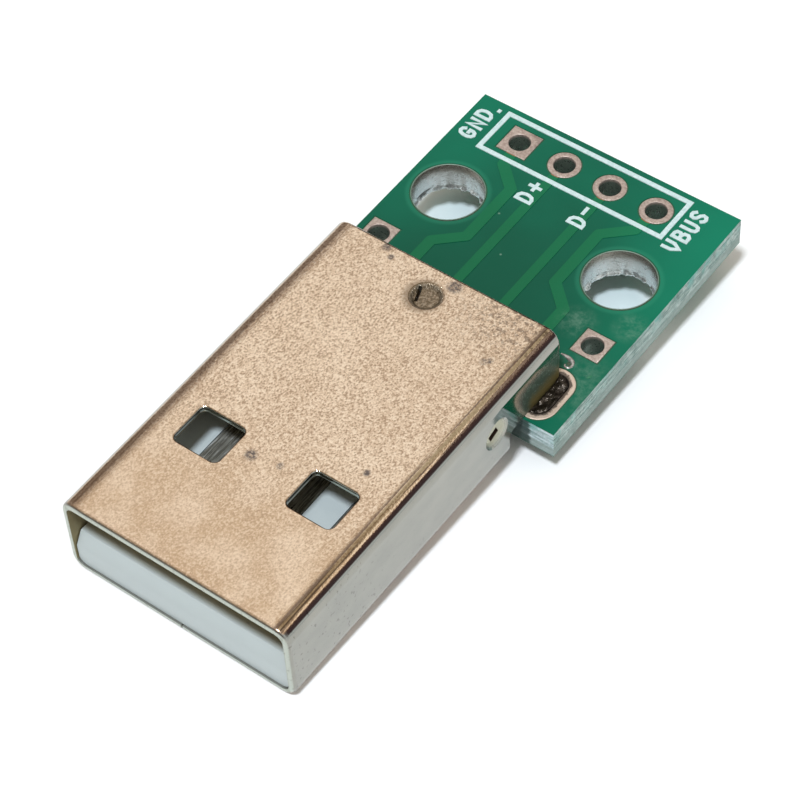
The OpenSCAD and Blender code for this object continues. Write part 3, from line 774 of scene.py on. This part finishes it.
def lumpy(node, grain, swell):
    """A copy of a solder solid, melted and swelled into soft lumps on its upper face."""
    form = fused(welded(node), grain)
    low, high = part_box(node)
    for vert in form.verts:
        free = max(0.0, vert.normal.z) if vert.co.z > high.z - SWELL_DEPTH * MM else 0.0
        height = noise.noise(vert.co / MM * 2.2) * 0.6 + noise.noise(vert.co / MM * 5.0) * 0.4
        vert.co.z = max(vert.co.z + free * (0.5 + height) * swell * MM, low.z)
    stand_for(made(form, node + "_skin", solder), node)


for side in SIDES:
    lumpy("leg_solder_" + side, LEG_GRAIN, LEG_SWELL)
for pin in PINS:
    lumpy("tail_solder_" + pin, TAIL_GRAIN, TAIL_SWELL)

bright, place = start("bright_solder")
frost = place.noise(5.0, 3.0)
coat(
    place,
    {
        "Base Color": frost.step(0.3, 0.7).tint(colour(150, 142, 138), colour(206, 204, 202)),
        "Metallic": 0.7,
        "Roughness": frost * 0.2 + 0.15,
    },
)


def run(name, points, flat, material):
    """A run of melted stuff on the board through points with a radius each, flattened to a share of its
    height."""
    form = bmesh.new()
    for one, two in zip(points, points[1:]):
        for k in range(BEADS):
            x, y, radius = Vector(one).lerp(Vector(two), k / BEADS)
            put = Matrix.Translation(Vector(spot(x, y, base_z)) * MM) @ Matrix.Diagonal((1, 1, flat, 1))
            bmesh.ops.create_icosphere(form, subdivisions=2, radius=radius * MM, matrix=put)
    made(fused(form, BEAD_GRAIN), name, material)


run("solder_splash", SPLASH, SPLASH_FLAT, bright)
run("flux_drop", DROP, DROP_FLAT, mask)

# Floor, lights and camera. The part leans on the tips of its legs and on the plug's front lower edge, so the
# floor is tilted by that lean in the part's frame. Under the mounting holes the paper is painted darker and
# pale blue, as painted shade below the board.
LEG_HALF = 0.9
FLOOR_SIZE = 3.0
FLOOR_GAP = 0.01
SHADE_TINT_X = (-5.8, 3.7)
SHADE_TINT_Y = 10.7
leg_y = over("leg_solder_left", 0.0)[1] - LEG_HALF
lean = atan2(top_z - SHELL_H, leg_y - mouth_y)
bpy.ops.mesh.primitive_grid_add(
    x_subdivisions=4,
    y_subdivisions=4,
    size=FLOOR_SIZE,
    location=(0, leg_y * MM, -FLOOR_GAP * MM),
    rotation=(-lean, 0, 0),
)
floor = bpy.context.object
floor.name = "floor"
paper, place = start("white_paper")
plain = place.noise(0.4, 3.0).tint((0.96, 0.965, 0.97, 1.0), (0.975, 0.975, 0.98, 1.0))
# Painted shade: darker, cooler paper under the mounting holes, below the board.
painted_hole_shade = together(place.near((x, SHADE_TINT_Y - leg_y, 0.0), 0.8, 2.1) for x in SHADE_TINT_X)
coat(
    place,
    {
        "Base Color": painted_hole_shade.tint(plain, (0.69, 0.8, 0.83, 1.0)),
        "Roughness": 0.9,
        "Specular IOR Level": 0.1,
    },
)
floor.data.materials.append(paper)

# The room that the metal mirrors: a warm wall on the left, dark walls and a dim ceiling, a pale right side,
# and a white card and a soft glow above.
world = bpy.data.worlds.new("studio")
bpy.context.scene.world = world
world.use_nodes = True
world.node_tree.nodes.clear()
sky = Shade(world.node_tree.nodes.new("ShaderNodeTexCoord").outputs["Generated"])
height = sky.axis("Z")
sideways = sky.axis("X")
above = height - sideways * 0.25
room = above.step(0.5, 0.6).tint((0.11, 0.07, 0.072, 1.0), (0.44, 0.4, 0.31, 1.0))
right = sideways.step(0.55, 0.8) * (1 - sky.axis("Y").step(0.15, 0.35) * height.step(0.2, 0.3))
room = right.tint(room, (0.95, 1.0, 1.02, 1.0))
left = (0 - sideways).step(0.42, 0.6)
left_wall = height.step(0.5, 0.78).tint((0.26, 0.225, 0.205, 1.0), (1.0, 0.93, 0.84, 1.0))
card = above.step(0.55, 0.59) * (1 - above.step(0.7, 0.75)) * sideways.step(0.2, 0.3)
glow = sky.near((-0.46, 0.5, 0.73), 0.12, 0.42) * (1 - left)
dome = (card * 0.95 + glow).tint(left.tint(room, left_wall), (1.15, 1.08, 0.98, 1.0))
sky.node("OutputWorld", None, {"Surface": sky.node("Background", None, {"Color": dome})})


def lamp(name, stand, aim, size, power, tone):
    """A square soft light at a place in millimetres, turned towards a point."""
    light = bpy.data.lights.new(name, "AREA")
    light.shape = "SQUARE"
    light.size = size * MM
    light.energy = power
    light.color = tone
    lit = bpy.data.objects.new(name, light)
    lit.location = Vector(stand) * MM
    lit.rotation_euler = (Vector(aim) - Vector(stand)).to_track_quat("-Z", "Y").to_euler()
    bpy.context.scene.collection.objects.link(lit)


lamp("overhead_light", (64, -211, 640), (0, 0, 2), 100, 3.5, (0.94, 1.0, 1.07))

# The camera's place, turn and lens were fitted to the photograph.
lens = bpy.data.cameras.new("camera")
lens.lens = 126.08
lens.sensor_width = 36.0
lens.clip_start = 0.001
lens.clip_end = 10.0
camera = bpy.data.objects.new("camera", lens)
camera.location = Vector((49.220, -59.726, 98.045)) * MM
camera.rotation_mode = "QUATERNION"
camera.rotation_quaternion = Quaternion((0.898857, 0.305090, 0.123864, 0.289196))
bpy.context.scene.collection.objects.link(camera)
bpy.context.scene.camera = camera
bpy.context.scene.view_settings.view_transform = "Standard"
